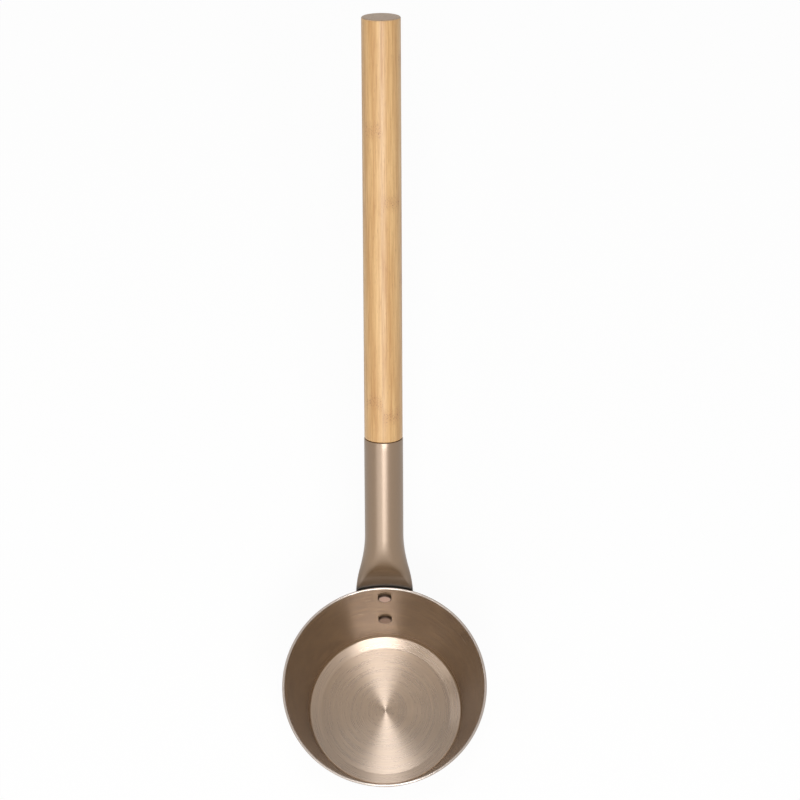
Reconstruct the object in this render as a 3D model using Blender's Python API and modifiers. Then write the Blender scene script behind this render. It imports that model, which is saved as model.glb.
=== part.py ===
"""Sauna ladle: a riveted metal bowl with a bamboo handle held in a metal socket tube.

Units are metres. The origin is the centre of the bowl's underside, +Z is up along the bowl's
axis, the handle leans out towards +Y and the ladle is symmetric about the plane x = 0.
"""

from math import atan2, cos, pi, radians, sin, tan

import bmesh
import bpy
from mathutils import Matrix, Vector

# Bowl
RIM_DIAMETER = 0.120
BOWL_HEIGHT = 0.0635
BOWL_SHEET = 0.0015
WALL_DRAFT = radians(12.1)
FLOOR_FLAT_RADIUS = 0.039
FLOOR_EDGE_SLOPE = radians(12.0)
INNER_CORNER_RADIUS = 0.0015
OUTER_CORNER_RADIUS = 0.0055

# Bamboo bar and its tenon
BAR_DIAMETER = 0.0223
BAR_LENGTH = 0.2485
BAR_EDGE_RADIUS = 0.0007
TENON_LENGTH = 0.045
TENON_CHAMFER = 0.001

# Socket tube, flattened at its lower end into a tab
SOCKET_PROUD = 0.0002
SOCKET_WALL = 0.0012
SOCKET_BEYOND_TENON = 0.0146
RAMP_LENGTH = 0.0373
HANDLE_RISE = radians(37.0)
BEND_RADIUS = 0.016
BEND_ABOVE_RIM = 0.0004
TAB_CORNER_RADIUS = 0.008
TAB_BELOW_RIVET = 0.009
CAVITY_LEAST_HEIGHT = 0.001

# Rivets through the tab and the bowl's wall
RIVET_UPPER_DROP = 0.0104
RIVET_LOWER_HEIGHT = 0.026
RIVET_SHANK_DIAMETER = 0.004
RIVET_HEAD_DIAMETER = 0.008
RIVET_HEAD_HEIGHT = 0.001
RIVET_HEAD_EDGE = 0.0005

# Screw through the socket's underside into the tenon
SCREW_SHANK_DIAMETER = 0.003
SCREW_LENGTH = 0.012
SCREW_POINT_LENGTH = 0.003
SCREW_HEAD_DIAMETER = 0.006
SCREW_HEAD_HEIGHT = 0.0018
SCREW_SLOT_WIDTH = 0.001
SCREW_SLOT_DEPTH = 0.0008

# Air between pieces that touch on the real ladle
FIT_GAP = 0.0003

# Fineness of the round surfaces
BOWL_STEPS = 96
BAR_STEPS = 56
FASTENER_STEPS = 32
LOOP_POINTS = 48
RAMP_STATIONS = 28
TAB_STATIONS = 4
ARC_STEPS = 6
RAMP_START_BLEND = 0.43
RAMP_END_BLEND = 0.57
RAMP_SOFTNESS = 0.7
RAMP_FULLNESS = 0.6
MERGE_DISTANCE = 0.00001
CUT_MARGIN = 0.002
SMOOTH_ANGLE = radians(32.0)

# Sizes that follow from the ones above
RIM_RADIUS = RIM_DIAMETER / 2
SOCKET_DIAMETER = BAR_DIAMETER + 2 * SOCKET_PROUD
TUBE_MID_DIAMETER = SOCKET_DIAMETER - SOCKET_WALL
TENON_DIAMETER = SOCKET_DIAMETER - 2 * SOCKET_WALL - 2 * FIT_GAP
TAB_THICKNESS = 2 * SOCKET_WALL
TAB_SLOPE = pi / 2 - WALL_DRAFT
BEND_ANGLE = TAB_SLOPE - HANDLE_RISE
BEND_LENGTH = BEND_RADIUS * BEND_ANGLE
SOCKET_UPPER_LENGTH = RAMP_LENGTH + SOCKET_BEYOND_TENON + TENON_LENGTH
RIVET_LOWER_DROP = BOWL_HEIGHT - RIVET_LOWER_HEIGHT
RIVET_HOLE_DIAMETER = RIVET_SHANK_DIAMETER + 2 * FIT_GAP
SCREW_HOLE_DIAMETER = SCREW_SHANK_DIAMETER + 2 * FIT_GAP

PARTS = "sauna_ladle"
CUTTERS = "cutters"


def clear_scene():
    for old in list(bpy.data.objects):
        bpy.data.objects.remove(old, do_unlink=True)


def collection(name):
    found = bpy.data.collections.get(name)
    if found is None:
        found = bpy.data.collections.new(name)
        bpy.context.scene.collection.children.link(found)
    return found


def metal(name, color, roughness):
    return surface(name, color, roughness, 1.0)


def surface(name, color, roughness, metallic=0.0):
    material = bpy.data.materials.new(name)
    material.use_nodes = True
    shader = material.node_tree.nodes["Principled BSDF"]
    shader.inputs["Base Color"].default_value = (*color, 1.0)
    shader.inputs["Roughness"].default_value = roughness
    shader.inputs["Metallic"].default_value = metallic
    material.diffuse_color = (*color, 1.0)
    return material


def arc(center, radius, start, end, steps):
    """Points on a circular arc in the profile plane, both ends included."""
    span = [start + (end - start) * k / steps for k in range(steps + 1)]
    return [(center[0] + radius * cos(a), center[1] + radius * sin(a)) for a in span]


def add_object(name, mesh, where, material=None, frame=None):
    thing = bpy.data.objects.new(name, mesh)
    if material is not None:
        mesh.materials.append(material)
    if frame is not None:
        thing.matrix_world = frame
    collection(where).objects.link(thing)
    return thing


def turned(name, profile, steps, where, material=None, frame=None):
    """Turn a profile of (radius, height) points, given from top to bottom, about local Z."""
    mesh = bpy.data.meshes.new(name)
    edges = [(k, k + 1) for k in range(len(profile) - 1)]
    mesh.from_pydata([(radius, 0.0, height) for radius, height in profile], edges, [])
    thing = add_object(name, mesh, where, material, frame)
    screw = thing.modifiers.new("turn", "SCREW")
    screw.steps = steps
    screw.render_steps = steps
    screw.use_merge_vertices = True
    screw.merge_threshold = MERGE_DISTANCE
    return thing


def cylinder_cutter(name, diameter, low, high, frame):
    profile = [(0.0, high), (diameter / 2, high), (diameter / 2, low), (0.0, low)]
    return as_cutter(turned(name, profile, FASTENER_STEPS, CUTTERS, frame=frame))


def as_cutter(thing):
    thing.display_type = "WIRE"
    thing.hide_render = True
    return thing


def cut(thing, cutter):
    boolean = thing.modifiers.new(cutter.name, "BOOLEAN")
    boolean.operation = "DIFFERENCE"
    boolean.solver = "EXACT"
    boolean.object = cutter


def settle(thing):
    """Turn the modifiers of a finished piece into its own smooth-shaded mesh."""
    bpy.context.view_layer.update()
    evaluated = thing.evaluated_get(bpy.context.evaluated_depsgraph_get())
    rough = thing.data
    thing.data = bpy.data.meshes.new_from_object(evaluated)
    thing.modifiers.clear()
    bpy.data.meshes.remove(rough)
    thing.data.name = thing.name
    thing.data.shade_smooth()
    thing.data.set_sharp_from_angle(angle=SMOOTH_ANGLE)


def frame_along(origin, direction):
    """A frame at a point of the plane x = 0 whose local Z runs along a (y, z) direction."""
    turn = atan2(direction[0], direction[1])
    return Matrix.Translation((0.0, *origin)) @ Matrix.Rotation(-turn, 4, "X")


def wall_point(height):
    """The (y, z) point of the bowl's outer wall at a height, on the handle's side.

    The wall runs down from the rim's round edge, which sets the bowl's full width and height.
    """
    half = BOWL_SHEET / 2
    touch = (RIM_RADIUS - half + half * cos(WALL_DRAFT), BOWL_HEIGHT - half - half * sin(WALL_DRAFT))
    return touch[0] + (height - touch[1]) * tan(WALL_DRAFT), height


def wall_frame(height):
    """Origin on the outer wall at a height, local Z straight out of the wall."""
    return frame_along(wall_point(height), (cos(WALL_DRAFT), -sin(WALL_DRAFT)))


def inner_corner():
    """The centre of the tight inner corner, between the floor's raised edge and the wall."""
    radius = INNER_CORNER_RADIUS
    rise = tan(FLOOR_EDGE_SLOPE)
    lean = tan(WALL_DRAFT)
    # Over the raised edge: height = base + rise * x. Inside the wall: x = side + lean * height.
    base = BOWL_SHEET - FLOOR_FLAT_RADIUS * rise + radius / cos(FLOOR_EDGE_SLOPE)
    side = wall_point(0.0)[0] - (BOWL_SHEET + radius) / cos(WALL_DRAFT)
    x = (side + lean * base) / (1 - lean * rise)
    return x, base + rise * x


def bowl_profile():
    """The sheet's section from the inner floor's centre, over the rim, to the underside's centre."""
    half = BOWL_SHEET / 2
    rim_center = (RIM_RADIUS - half, BOWL_HEIGHT - half)
    inner = arc(inner_corner(), INNER_CORNER_RADIUS, FLOOR_EDGE_SLOPE - pi / 2, -WALL_DRAFT, ARC_STEPS)
    rim = arc(rim_center, half, pi - WALL_DRAFT, -WALL_DRAFT, ARC_STEPS)
    # The outer corner's centre lies one radius in from the outer wall and one radius up.
    radius = OUTER_CORNER_RADIUS
    corner = (wall_point(radius)[0] - radius / cos(WALL_DRAFT), radius)
    outer = arc(corner, radius, -WALL_DRAFT, -pi / 2, ARC_STEPS)
    return [(0.0, BOWL_SHEET), (FLOOR_FLAT_RADIUS, BOWL_SHEET)] + inner + rim + outer + [(0.0, 0.0)]


def head_profile(diameter, base, height, edge):
    """The top of a low round head, from its centre out and down to its seat."""
    radius = diameter / 2
    rounding = arc((radius - edge, base + height - edge), edge, pi / 2, 0.0, ARC_STEPS)
    return [(0.0, base + height)] + rounding + [(radius, base)]


def rivet_profile():
    """Local Z runs out of the wall and is 0 on the wall's outer surface."""
    shank = RIVET_SHANK_DIAMETER / 2
    inner_wall_radius = RIM_RADIUS - BOWL_SHEET - BOWL_HEIGHT * tan(WALL_DRAFT)
    wall_sag = (RIVET_HEAD_DIAMETER / 2) ** 2 / (2 * inner_wall_radius)
    inner_seat = -(BOWL_SHEET + FIT_GAP + wall_sag)
    outer_seat = FIT_GAP + TAB_THICKNESS + FIT_GAP
    outer = head_profile(RIVET_HEAD_DIAMETER, outer_seat, RIVET_HEAD_HEIGHT, RIVET_HEAD_EDGE)
    inner = head_profile(RIVET_HEAD_DIAMETER, -inner_seat, RIVET_HEAD_HEIGHT, RIVET_HEAD_EDGE)
    inner = [(radius, -height) for radius, height in reversed(inner)]
    return outer + [(shank, outer_seat), (shank, inner_seat)] + inner


def bar_profile():
    """Local Z runs up the handle from the socket's mouth."""
    radius = BAR_DIAMETER / 2
    tenon = TENON_DIAMETER / 2
    edge = BAR_EDGE_RADIUS
    low = FIT_GAP
    high = low + BAR_LENGTH
    top = arc((radius - edge, high - edge), edge, pi / 2, 0.0, ARC_STEPS)
    shoulder = arc((radius - edge, low + edge), edge, 0.0, -pi / 2, ARC_STEPS)
    tip = [(tenon, TENON_CHAMFER - TENON_LENGTH), (tenon - TENON_CHAMFER, -TENON_LENGTH)]
    return [(0.0, high)] + top + shoulder + [(tenon, low)] + tip + [(0.0, -TENON_LENGTH)]


def screw_profile():
    """Local Z runs out of the socket's underside and is 0 on the socket's axis."""
    seat = SOCKET_DIAMETER / 2 + FIT_GAP
    shank = SCREW_SHANK_DIAMETER / 2
    head_edge = SCREW_HEAD_HEIGHT / 2
    head = head_profile(SCREW_HEAD_DIAMETER, seat, SCREW_HEAD_HEIGHT, head_edge)
    tip = seat - SCREW_LENGTH
    return head + [(shank, seat), (shank, tip + SCREW_POINT_LENGTH), (0.0, tip)]


def spine_bend_start():
    """The (y, z) point where the tab's mid-line leaves the wall's slope."""
    offset = FIT_GAP + TAB_THICKNESS / 2
    corner_height = BOWL_HEIGHT + BEND_ABOVE_RIM
    corner = Vector(wall_point(corner_height)) + Vector((offset / cos(WALL_DRAFT), 0.0))
    tangent = BEND_RADIUS * tan(BEND_ANGLE / 2)
    return corner - tangent * Vector((sin(WALL_DRAFT), cos(WALL_DRAFT)))


def spine(distance):
    """Mid-line point and slope at a distance past the bend's start; negative is down the tab."""
    start = spine_bend_start()
    slope = TAB_SLOPE - min(max(distance / BEND_RADIUS, 0.0), BEND_ANGLE)
    first = Vector((sin(TAB_SLOPE), -cos(TAB_SLOPE)))
    now = Vector((sin(slope), -cos(slope)))
    point = start + BEND_RADIUS * (first - now)
    past = min(distance, 0.0) + max(distance - BEND_LENGTH, 0.0)
    return point + past * Vector((cos(slope), sin(slope))), slope


def opening(distance):
    """0 where the tube is pressed flat, 1 where it is round, with an even slope between."""
    t = min(max(distance / RAMP_LENGTH, 0.0), 1.0)
    slope = 2 / (2 - RAMP_START_BLEND - RAMP_END_BLEND)
    if t < RAMP_START_BLEND:
        return slope * t * t / (2 * RAMP_START_BLEND)
    if t > 1 - RAMP_END_BLEND:
        return 1 - slope * (1 - t) * (1 - t) / (2 * RAMP_END_BLEND)
    return slope * (t - RAMP_START_BLEND / 2)


def slot_loop(width, height, softness):
    """Points round a slot shape, from the middle of one flat; a circle if it is as wide as high.

    Half of them are spread by the outline's length and half by how much it turns. A softness
    of 1 draws an ellipse instead, and values between mix the two.
    """
    count = LOOP_POINTS // 4
    radius = height / 2
    flat = max(width / 2 - radius, 0.0)
    flat_share = 0.5 * flat / (flat + radius * pi / 2)
    quarter = []
    for k in range(count):
        share = k / count
        if share < flat_share:
            x, n = share / flat_share * flat, -radius
        else:
            turn = (share - flat_share) / (1 - flat_share) * pi / 2
            x, n = flat + radius * sin(turn), -radius * cos(turn)
        round_x, round_n = (flat + radius) * sin(share * pi / 2), -radius * cos(share * pi / 2)
        quarter.append((x + softness * (round_x - x), n + softness * (round_n - n)))
    tip = (flat + radius, 0.0)
    half = quarter + [tip] + [(x, -n) for x, n in reversed(quarter[1:])]
    return half + [(-x, -n) for x, n in half]


def section(distance, shrink, narrowing=0.0):
    """A loop of the tube's skin, a distance along the spine, in world space.

    shrink is 0 for the outer skin and the wall's thickness for the inner one. The metal keeps
    its girth as it is flattened, and stays a little fuller than a slot on the way. Where it is
    flat it also follows the bowl's curve.
    """
    opened = opening(distance)
    mid_height = SOCKET_WALL + opened * (TUBE_MID_DIAMETER - SOCKET_WALL)
    mid_width = pi * TUBE_MID_DIAMETER / 2 - (pi / 2 - 1) * mid_height
    width = mid_width + SOCKET_WALL - 2 * shrink - 2 * narrowing
    fullness = RAMP_FULLNESS * opened * opened * (1 - opened) * TUBE_MID_DIAMETER
    height = mid_height + fullness + SOCKET_WALL - 2 * shrink
    point, slope = spine(distance)
    across = Vector((sin(slope), -cos(slope)))
    loop = []
    for x, n in slot_loop(width, height, RAMP_SOFTNESS * opened):
        y, z = point + n * across
        curve = (1 - opened) / y
        if curve == 0:
            loop.append((x, y, z))
        else:
            loop.append((sin(x * curve) / curve, y - (1 - cos(x * curve)) / curve, z))
    return loop


def tab_outline():
    """Distances and narrowings from the tab's rounded lower end up to the bend."""
    lower_rivet = RIVET_LOWER_DROP / cos(WALL_DRAFT)
    bend_start = (BOWL_HEIGHT - spine_bend_start()[1]) / cos(WALL_DRAFT)
    length = lower_rivet - bend_start + TAB_BELOW_RIVET
    corner = min(TAB_CORNER_RADIUS, length / 2)
    outline = []
    for k in range(ARC_STEPS + 1):
        a = pi / 2 * k / ARC_STEPS
        outline.append((-length + corner * (1 - cos(a)), corner * (1 - sin(a))))
    straight = length - corner
    for k in range(1, TAB_STATIONS):
        outline.append((-straight * (1 - k / TAB_STATIONS), 0.0))
    return outline


def skin(shape, loops):
    """Quads between successive loops of points; gives back the loops' vertices."""
    rings = [[shape.verts.new(point) for point in loop] for loop in loops]
    for low, high in zip(rings, rings[1:]):
        for k in range(LOOP_POINTS):
            n = (k + 1) % LOOP_POINTS
            shape.faces.new((low[k], low[n], high[n], high[k]))
    return rings


def close_end(shape, ring):
    """Close a slot-shaped ring with a ladder of faces between its two long sides."""
    half = LOOP_POINTS // 2
    quarter = LOOP_POINTS // 4
    for k in range(-quarter, quarter):
        corners = [ring[k], ring[k + 1], ring[half - k - 1], ring[half - k]]
        unique = [v for i, v in enumerate(corners) if v not in corners[:i]]
        shape.faces.new(unique)


def socket_mesh():
    ramp = [RAMP_LENGTH * k / RAMP_STATIONS for k in range(RAMP_STATIONS + 1)]
    upper = ramp + [SOCKET_UPPER_LENGTH]
    outer = [section(distance, 0.0, narrowing) for distance, narrowing in tab_outline()]
    outer += [section(distance, 0.0) for distance in upper]
    hollow = TUBE_MID_DIAMETER - SOCKET_WALL
    inner_from = [d for d in upper if opening(d) * hollow >= CAVITY_LEAST_HEIGHT]
    inner = [section(distance, SOCKET_WALL) for distance in inner_from]
    shape = bmesh.new()
    outer_rings = skin(shape, outer)
    inner_rings = skin(shape, inner)
    close_end(shape, outer_rings[0])
    close_end(shape, inner_rings[0])
    for k in range(LOOP_POINTS):
        n = (k + 1) % LOOP_POINTS
        mouth = (outer_rings[-1][k], outer_rings[-1][n], inner_rings[-1][n], inner_rings[-1][k])
        shape.faces.new(mouth)
    bmesh.ops.recalc_face_normals(shape, faces=shape.faces)
    mesh = bpy.data.meshes.new("handle_socket")
    shape.to_mesh(mesh)
    shape.free()
    return mesh


def mouth_frame():
    """The socket's mouth: local Z up the handle."""
    point, slope = spine(SOCKET_UPPER_LENGTH)
    return frame_along(point, (cos(slope), sin(slope)))


def screw_frame():
    """On the socket's axis at the middle of the tenon: local Z out of the underside."""
    point, slope = spine(SOCKET_UPPER_LENGTH - TENON_LENGTH / 2)
    return frame_along(point, (sin(slope), -cos(slope)))


def slot_cutter(frame):
    """A bar across the screw's head that leaves its driver slot."""
    top = SOCKET_DIAMETER / 2 + FIT_GAP + SCREW_HEAD_HEIGHT
    height = SCREW_SLOT_DEPTH + CUT_MARGIN
    center = Matrix.Translation((0.0, 0.0, top - SCREW_SLOT_DEPTH + height / 2))
    size = Matrix.Diagonal((SCREW_HEAD_DIAMETER + CUT_MARGIN, SCREW_SLOT_WIDTH, height, 1.0))
    shape = bmesh.new()
    bmesh.ops.create_cube(shape, size=1.0, matrix=center @ size)
    mesh = bpy.data.meshes.new("cut_screw_slot")
    shape.to_mesh(mesh)
    shape.free()
    return as_cutter(add_object("cut_screw_slot", mesh, CUTTERS, frame=frame))


def build():
    clear_scene()
    anodised = metal("champagne_metal", (0.46, 0.38, 0.30), 0.34)
    rivet_metal = metal("rivet_metal", (0.50, 0.42, 0.38), 0.40)
    screw_metal = metal("screw_metal", (0.55, 0.54, 0.52), 0.35)
    bamboo = surface("bamboo", (0.72, 0.50, 0.29), 0.50)

    bowl = turned("bowl", bowl_profile(), BOWL_STEPS, PARTS, anodised)
    socket = add_object("handle_socket", socket_mesh(), PARTS, anodised)
    grip = turned("handle_grip", bar_profile(), BAR_STEPS, PARTS, bamboo, mouth_frame())
    screw = turned("retaining_screw", screw_profile(), FASTENER_STEPS, PARTS, screw_metal, screw_frame())

    pieces = [bowl, socket, grip, screw]
    hole_low = -(BOWL_SHEET + CUT_MARGIN)
    hole_high = FIT_GAP + TAB_THICKNESS + CUT_MARGIN
    for name, height in (("upper", BOWL_HEIGHT - RIVET_UPPER_DROP), ("lower", RIVET_LOWER_HEIGHT)):
        frame = wall_frame(height)
        rivet = turned("rivet_" + name, rivet_profile(), FASTENER_STEPS, PARTS, rivet_metal, frame)
        hole = cylinder_cutter("cut_rivet_" + name, RIVET_HOLE_DIAMETER, hole_low, hole_high, frame)
        cut(bowl, hole)
        cut(socket, hole)
        pieces.append(rivet)

    screw_low = SOCKET_DIAMETER / 2 - SCREW_LENGTH
    screw_high = SOCKET_DIAMETER / 2 + CUT_MARGIN
    hole = cylinder_cutter("cut_screw_hole", SCREW_HOLE_DIAMETER, screw_low, screw_high, screw_frame())
    cut(socket, hole)
    cut(grip, hole)
    cut(screw, slot_cutter(screw_frame()))

    for piece in pieces:
        settle(piece)


build()
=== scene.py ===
# %% [markdown]
# # A sauna ladle
# The ladle is a spun metal bowl with a socket tube riveted to its wall. A bamboo bar sits in
# the tube and a small screw keeps it there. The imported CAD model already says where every
# piece is, so we load it first and build each visible piece in the same place, in metres.

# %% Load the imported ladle
from math import atan2, cos, pi, radians, sin, tan

import bmesh
import bpy
from mathutils import Matrix, Vector


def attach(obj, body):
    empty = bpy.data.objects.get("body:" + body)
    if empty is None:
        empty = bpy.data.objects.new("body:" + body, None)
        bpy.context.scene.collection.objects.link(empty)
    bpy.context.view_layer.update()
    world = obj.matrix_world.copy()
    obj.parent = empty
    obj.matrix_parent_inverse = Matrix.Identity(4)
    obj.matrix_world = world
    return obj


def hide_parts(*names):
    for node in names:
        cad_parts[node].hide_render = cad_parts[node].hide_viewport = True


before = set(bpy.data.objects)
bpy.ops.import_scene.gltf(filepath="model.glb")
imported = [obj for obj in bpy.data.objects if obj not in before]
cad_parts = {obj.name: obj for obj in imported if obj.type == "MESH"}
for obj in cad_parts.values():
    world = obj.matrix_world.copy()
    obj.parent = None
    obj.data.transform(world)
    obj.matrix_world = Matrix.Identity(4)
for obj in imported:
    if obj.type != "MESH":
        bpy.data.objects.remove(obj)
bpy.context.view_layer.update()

print("CAD nodes:", sorted(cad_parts))

# %% [markdown]
# ## The sizes
# Good models start from named sizes. These are the same values as in the CAD source: the
# bowl, the bar, the tube that is pressed flat at its lower end, and the fasteners. Pieces
# that touch on the real ladle keep a hair of air between them, so that none overlaps.

# %% Named sizes, in metres
FIT_GAP = 0.0003

RIM_RADIUS = 0.060
BOWL_HEIGHT = 0.0635
BOWL_SHEET = 0.0015
WALL_DRAFT = radians(12.1)
FLOOR_FLAT_RADIUS = 0.039
FLOOR_EDGE_SLOPE = radians(12.0)
INNER_CORNER_RADIUS = 0.0015
OUTER_CORNER_RADIUS = 0.0055

BAR_RADIUS = 0.01115
BAR_LENGTH = 0.2485
BAR_EDGE = 0.0007
TENON_LENGTH = 0.045
TENON_CHAMFER = 0.001

TUBE_RADIUS = 0.01135
TUBE_WALL = 0.0012
TUBE_BEYOND_TENON = 0.0146
RAMP_LENGTH = 0.0373
RAMP_START_BLEND = 0.43
RAMP_END_BLEND = 0.57
RAMP_SOFTNESS = 0.7
RAMP_FULLNESS = 0.6
HANDLE_RISE = radians(37.0)
BEND_RADIUS = 0.016
BEND_ABOVE_RIM = 0.0004
TAB_CORNER_RADIUS = 0.008
TAB_BELOW_RIVET = 0.009

RIVET_UPPER_DROP = 0.0104
RIVET_LOWER_HEIGHT = 0.026
RIVET_SHANK_RADIUS = 0.002
RIVET_HEAD_RADIUS = 0.004
RIVET_HEAD_HEIGHT = 0.001

SCREW_SHANK_RADIUS = 0.0015
SCREW_LENGTH = 0.012
SCREW_POINT = 0.003
SCREW_HEAD_RADIUS = 0.003
SCREW_HEAD_HEIGHT = 0.0018
SCREW_SLOT_WIDTH = 0.001
SCREW_SLOT_DEPTH = 0.0008

TAB_THICKNESS = 2 * TUBE_WALL
TAB_SLOPE = pi / 2 - WALL_DRAFT
BEND_ANGLE = TAB_SLOPE - HANDLE_RISE
TUBE_LENGTH = RAMP_LENGTH + TUBE_BEYOND_TENON + TENON_LENGTH
TENON_RADIUS = TUBE_RADIUS - TUBE_WALL - FIT_GAP
print("bend of", round(BEND_ANGLE * 180 / pi, 1), "degrees from the tab to the handle")

# %% [markdown]
# ## One helper for node trees
# Shader trees and Geometry Nodes trees are built the same way: add a node, set its options,
# feed its inputs. One helper does all three, so that each step of a tree is one line.

# %% Add one node
def step(tree, kind, *values, out=0, **options):
    """Values feed the node's visible inputs in order: a socket is linked, None is left alone."""
    made = tree.nodes.new(kind)
    for name, value in options.items():
        setattr(made, name, value)
    shown = [socket for socket in made.inputs if socket.enabled]
    for socket, value in zip(shown, values):
        if isinstance(value, bpy.types.NodeSocket):
            tree.links.new(value, socket)
        elif value is not None:
            socket.default_value = value
    return [socket for socket in made.outputs if socket.enabled][out]


def maths(tree, operation, *values):
    return step(tree, "ShaderNodeMath", *values, operation=operation)


def vector_maths(tree, operation, *values):
    out = 1 if operation in ("LENGTH", "DOT_PRODUCT", "DISTANCE") else 0
    made = step(tree, "ShaderNodeVectorMath", *values, operation=operation).node
    return made.outputs[out]


# %% [markdown]
# ## Colour and grain helpers
# Every finish here is a plain base with a fine pattern on top. The pattern is a noise that is
# stretched until it looks like brush marks or wood fibres. It moves the colour, the roughness
# and the bump together, because on a real surface the same scratches cause all three.

# %% Shared parts of the finishes
def new_material(name):
    material = bpy.data.materials.new(name)
    material.use_nodes = True
    tree = material.node_tree
    return material, tree, tree.nodes["Principled BSDF"]


def plug(tree, shader, name, value):
    if isinstance(value, bpy.types.NodeSocket):
        tree.links.new(value, shader.inputs[name])
    else:
        shader.inputs[name].default_value = value


def spread(tree, value, low, high, new_low, new_high):
    """Move a value from one range to another, held at its ends."""
    return step(tree, "ShaderNodeMapRange", value, low, high, new_low, new_high)


def graded(tree, noise, new_low, new_high):
    """Move noise, which is mostly between 0.3 and 0.7, to a range of its own."""
    return spread(tree, noise, 0.3, 0.7, new_low, new_high)


def mixed(tree, factor, first, second):
    return step(tree, "ShaderNodeMix", factor, first, second, data_type="RGBA")


def position(tree):
    """Where a point is in the object, which here is also where it is in the room."""
    return step(tree, "ShaderNodeTexCoord", out=3)


def height_of(tree, place):
    return step(tree, "ShaderNodeSeparateXYZ", place, out=2)


def rgb(red, green, blue):
    return (red, green, blue, 1.0)


def grain(tree, vector, detail, rough):
    """Noise between 0 and 1 at a vector that is already scaled to the grain's size."""
    scale = 1.0
    return step(tree, "ShaderNodeTexNoise", vector, scale, detail, rough, noise_dimensions="3D")


def bumped(tree, height, strength, distance):
    bump = tree.nodes.new("ShaderNodeBump")
    bump.inputs["Strength"].default_value = strength
    bump.inputs["Distance"].default_value = distance
    tree.links.new(height, bump.inputs["Height"])
    return bump.outputs["Normal"]


# %% [markdown]
# ## The champagne metal
# The bowl and the tube are brushed aluminium under a thin dyed layer of oxide. Nearly half of
# the look is metallic. The rest follows the layer: it scatters a little light by itself, and
# its own refractive index gives a paler gleam that has the same brushed shape. The bowl was
# brushed while it turned, so its marks run in rings round its axis and the light gathers in
# two bright wedges across them, which is what the anisotropic input is for. Coarser, darker
# streaks lie over the rings on the inside of its wall, and they also carry painted shade that
# darkens the inside of the wall as a whole. The tube's marks run round it. Its bend and the
# crease above the rim get painted shade.

# %% Champagne metal
METAL_DARK = rgb(0.182, 0.103, 0.042)
METAL_LIGHT = rgb(0.275, 0.165, 0.077)
METAL_SHARE = 0.45
MARK_BUMP = 0.25
MARK_DEPTH = 0.00002
SCRATCHY = 0.6


def champagne(name, index, marks, colour, height, roughness):
    """A dyed metal. Its colour, height and roughness are functions of its marks, from 0 to 1."""
    material, tree, shader = new_material(name)
    fine = marks(tree)
    plug(tree, shader, "Base Color", colour(tree, fine))
    plug(tree, shader, "Metallic", METAL_SHARE)
    plug(tree, shader, "IOR", index)
    # A level of 1 doubles the gleam that the index gives by itself.
    plug(tree, shader, "Specular IOR Level", 1.0)
    plug(tree, shader, "Roughness", roughness(tree, fine))
    plug(tree, shader, "Normal", bumped(tree, height(tree, fine), MARK_BUMP, MARK_DEPTH))
    return material, tree, shader


print("metallic share of the champagne finish:", METAL_SHARE)

# %% Rings on the bowl
# Width across the rings in metres, changes round them for each radian, and share of the whole.
BRUSH_PITCH, BRUSH_ARCS, BRUSH_SHARE = 0.0007, 2.0, 0.30
STREAK_PITCH, STREAK_ARCS, STREAK_SHARE = 0.0014, 1.5, 0.30
TURN_PITCH, TURN_ARCS, TURN_SHARE = 0.0018, 0.25, 0.40
RING_DETAIL = 2.0


def level_part(tree, place):
    return vector_maths(tree, "MULTIPLY", place, (1.0, 1.0, 0.0))


def ringed(tree, pitch, arcs, detail):
    """Noise in rings round the bowl's axis: one pitch across them, long arcs along them."""
    place = position(tree)
    flat = level_part(tree, place)
    across = maths(tree, "ADD", vector_maths(tree, "LENGTH", flat), height_of(tree, place))
    around = vector_maths(tree, "SCALE", vector_maths(tree, "NORMALIZE", flat), arcs)
    lifted = step(tree, "ShaderNodeCombineXYZ", 0.0, 0.0, maths(tree, "DIVIDE", across, pitch))
    return grain(tree, vector_maths(tree, "ADD", around, lifted), detail, SCRATCHY)


def ring_marks(tree):
    """Fine brush marks and wider streaks, over the rings that the spinning tool left."""
    def layer(pitch, arcs, share):
        return maths(tree, "MULTIPLY", ringed(tree, pitch, arcs, RING_DETAIL), share)

    brush = layer(BRUSH_PITCH, BRUSH_ARCS, BRUSH_SHARE)
    streaks = layer(STREAK_PITCH, STREAK_ARCS, STREAK_SHARE)
    turns = layer(TURN_PITCH, TURN_ARCS, TURN_SHARE)
    return maths(tree, "ADD", maths(tree, "ADD", brush, streaks), turns)


print("rings every", [1000 * pitch for pitch in (BRUSH_PITCH, STREAK_PITCH, TURN_PITCH)], "mm")

# %% Coarse streaks inside the wall
# They grow between two heights. Two depths in the sheet, as shares of it, end them outside.
WALL_START, WALL_FULL = 0.005, 0.010
SHEET_INSIDE, SHEET_OUTSIDE = 0.7, 0.3
WALL_PITCH = 0.0025
WALL_ARCS = 4.5
WALL_DETAIL = 3.0
WALL_CONTRAST = (0.38, 0.62)
WALL_RELIEF = 14.0
WALL_SMOOTHER = 0.03
WALL_SHADE = rgb(0.095, 0.046, 0.014)
WALL_SHADING = 0.6


def on_the_wall(tree, value):
    """A value that is 0 on the bowl's floor and outside, and full inside the wall."""
    place = position(tree)
    height = height_of(tree, place)
    radius = vector_maths(tree, "LENGTH", level_part(tree, place))
    # Taking the lean away from the radius leaves one value for each side of the sheet.
    upright = maths(tree, "SUBTRACT", radius, maths(tree, "MULTIPLY", height, tan(WALL_DRAFT)))
    outer = RIM_RADIUS - BOWL_HEIGHT * tan(WALL_DRAFT)
    inside = spread(tree, upright, outer - SHEET_INSIDE * BOWL_SHEET,
                    outer - SHEET_OUTSIDE * BOWL_SHEET, value, 0.0)
    return maths(tree, "MULTIPLY", inside, spread(tree, height, WALL_START, WALL_FULL, 0.0, 1.0))


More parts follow.
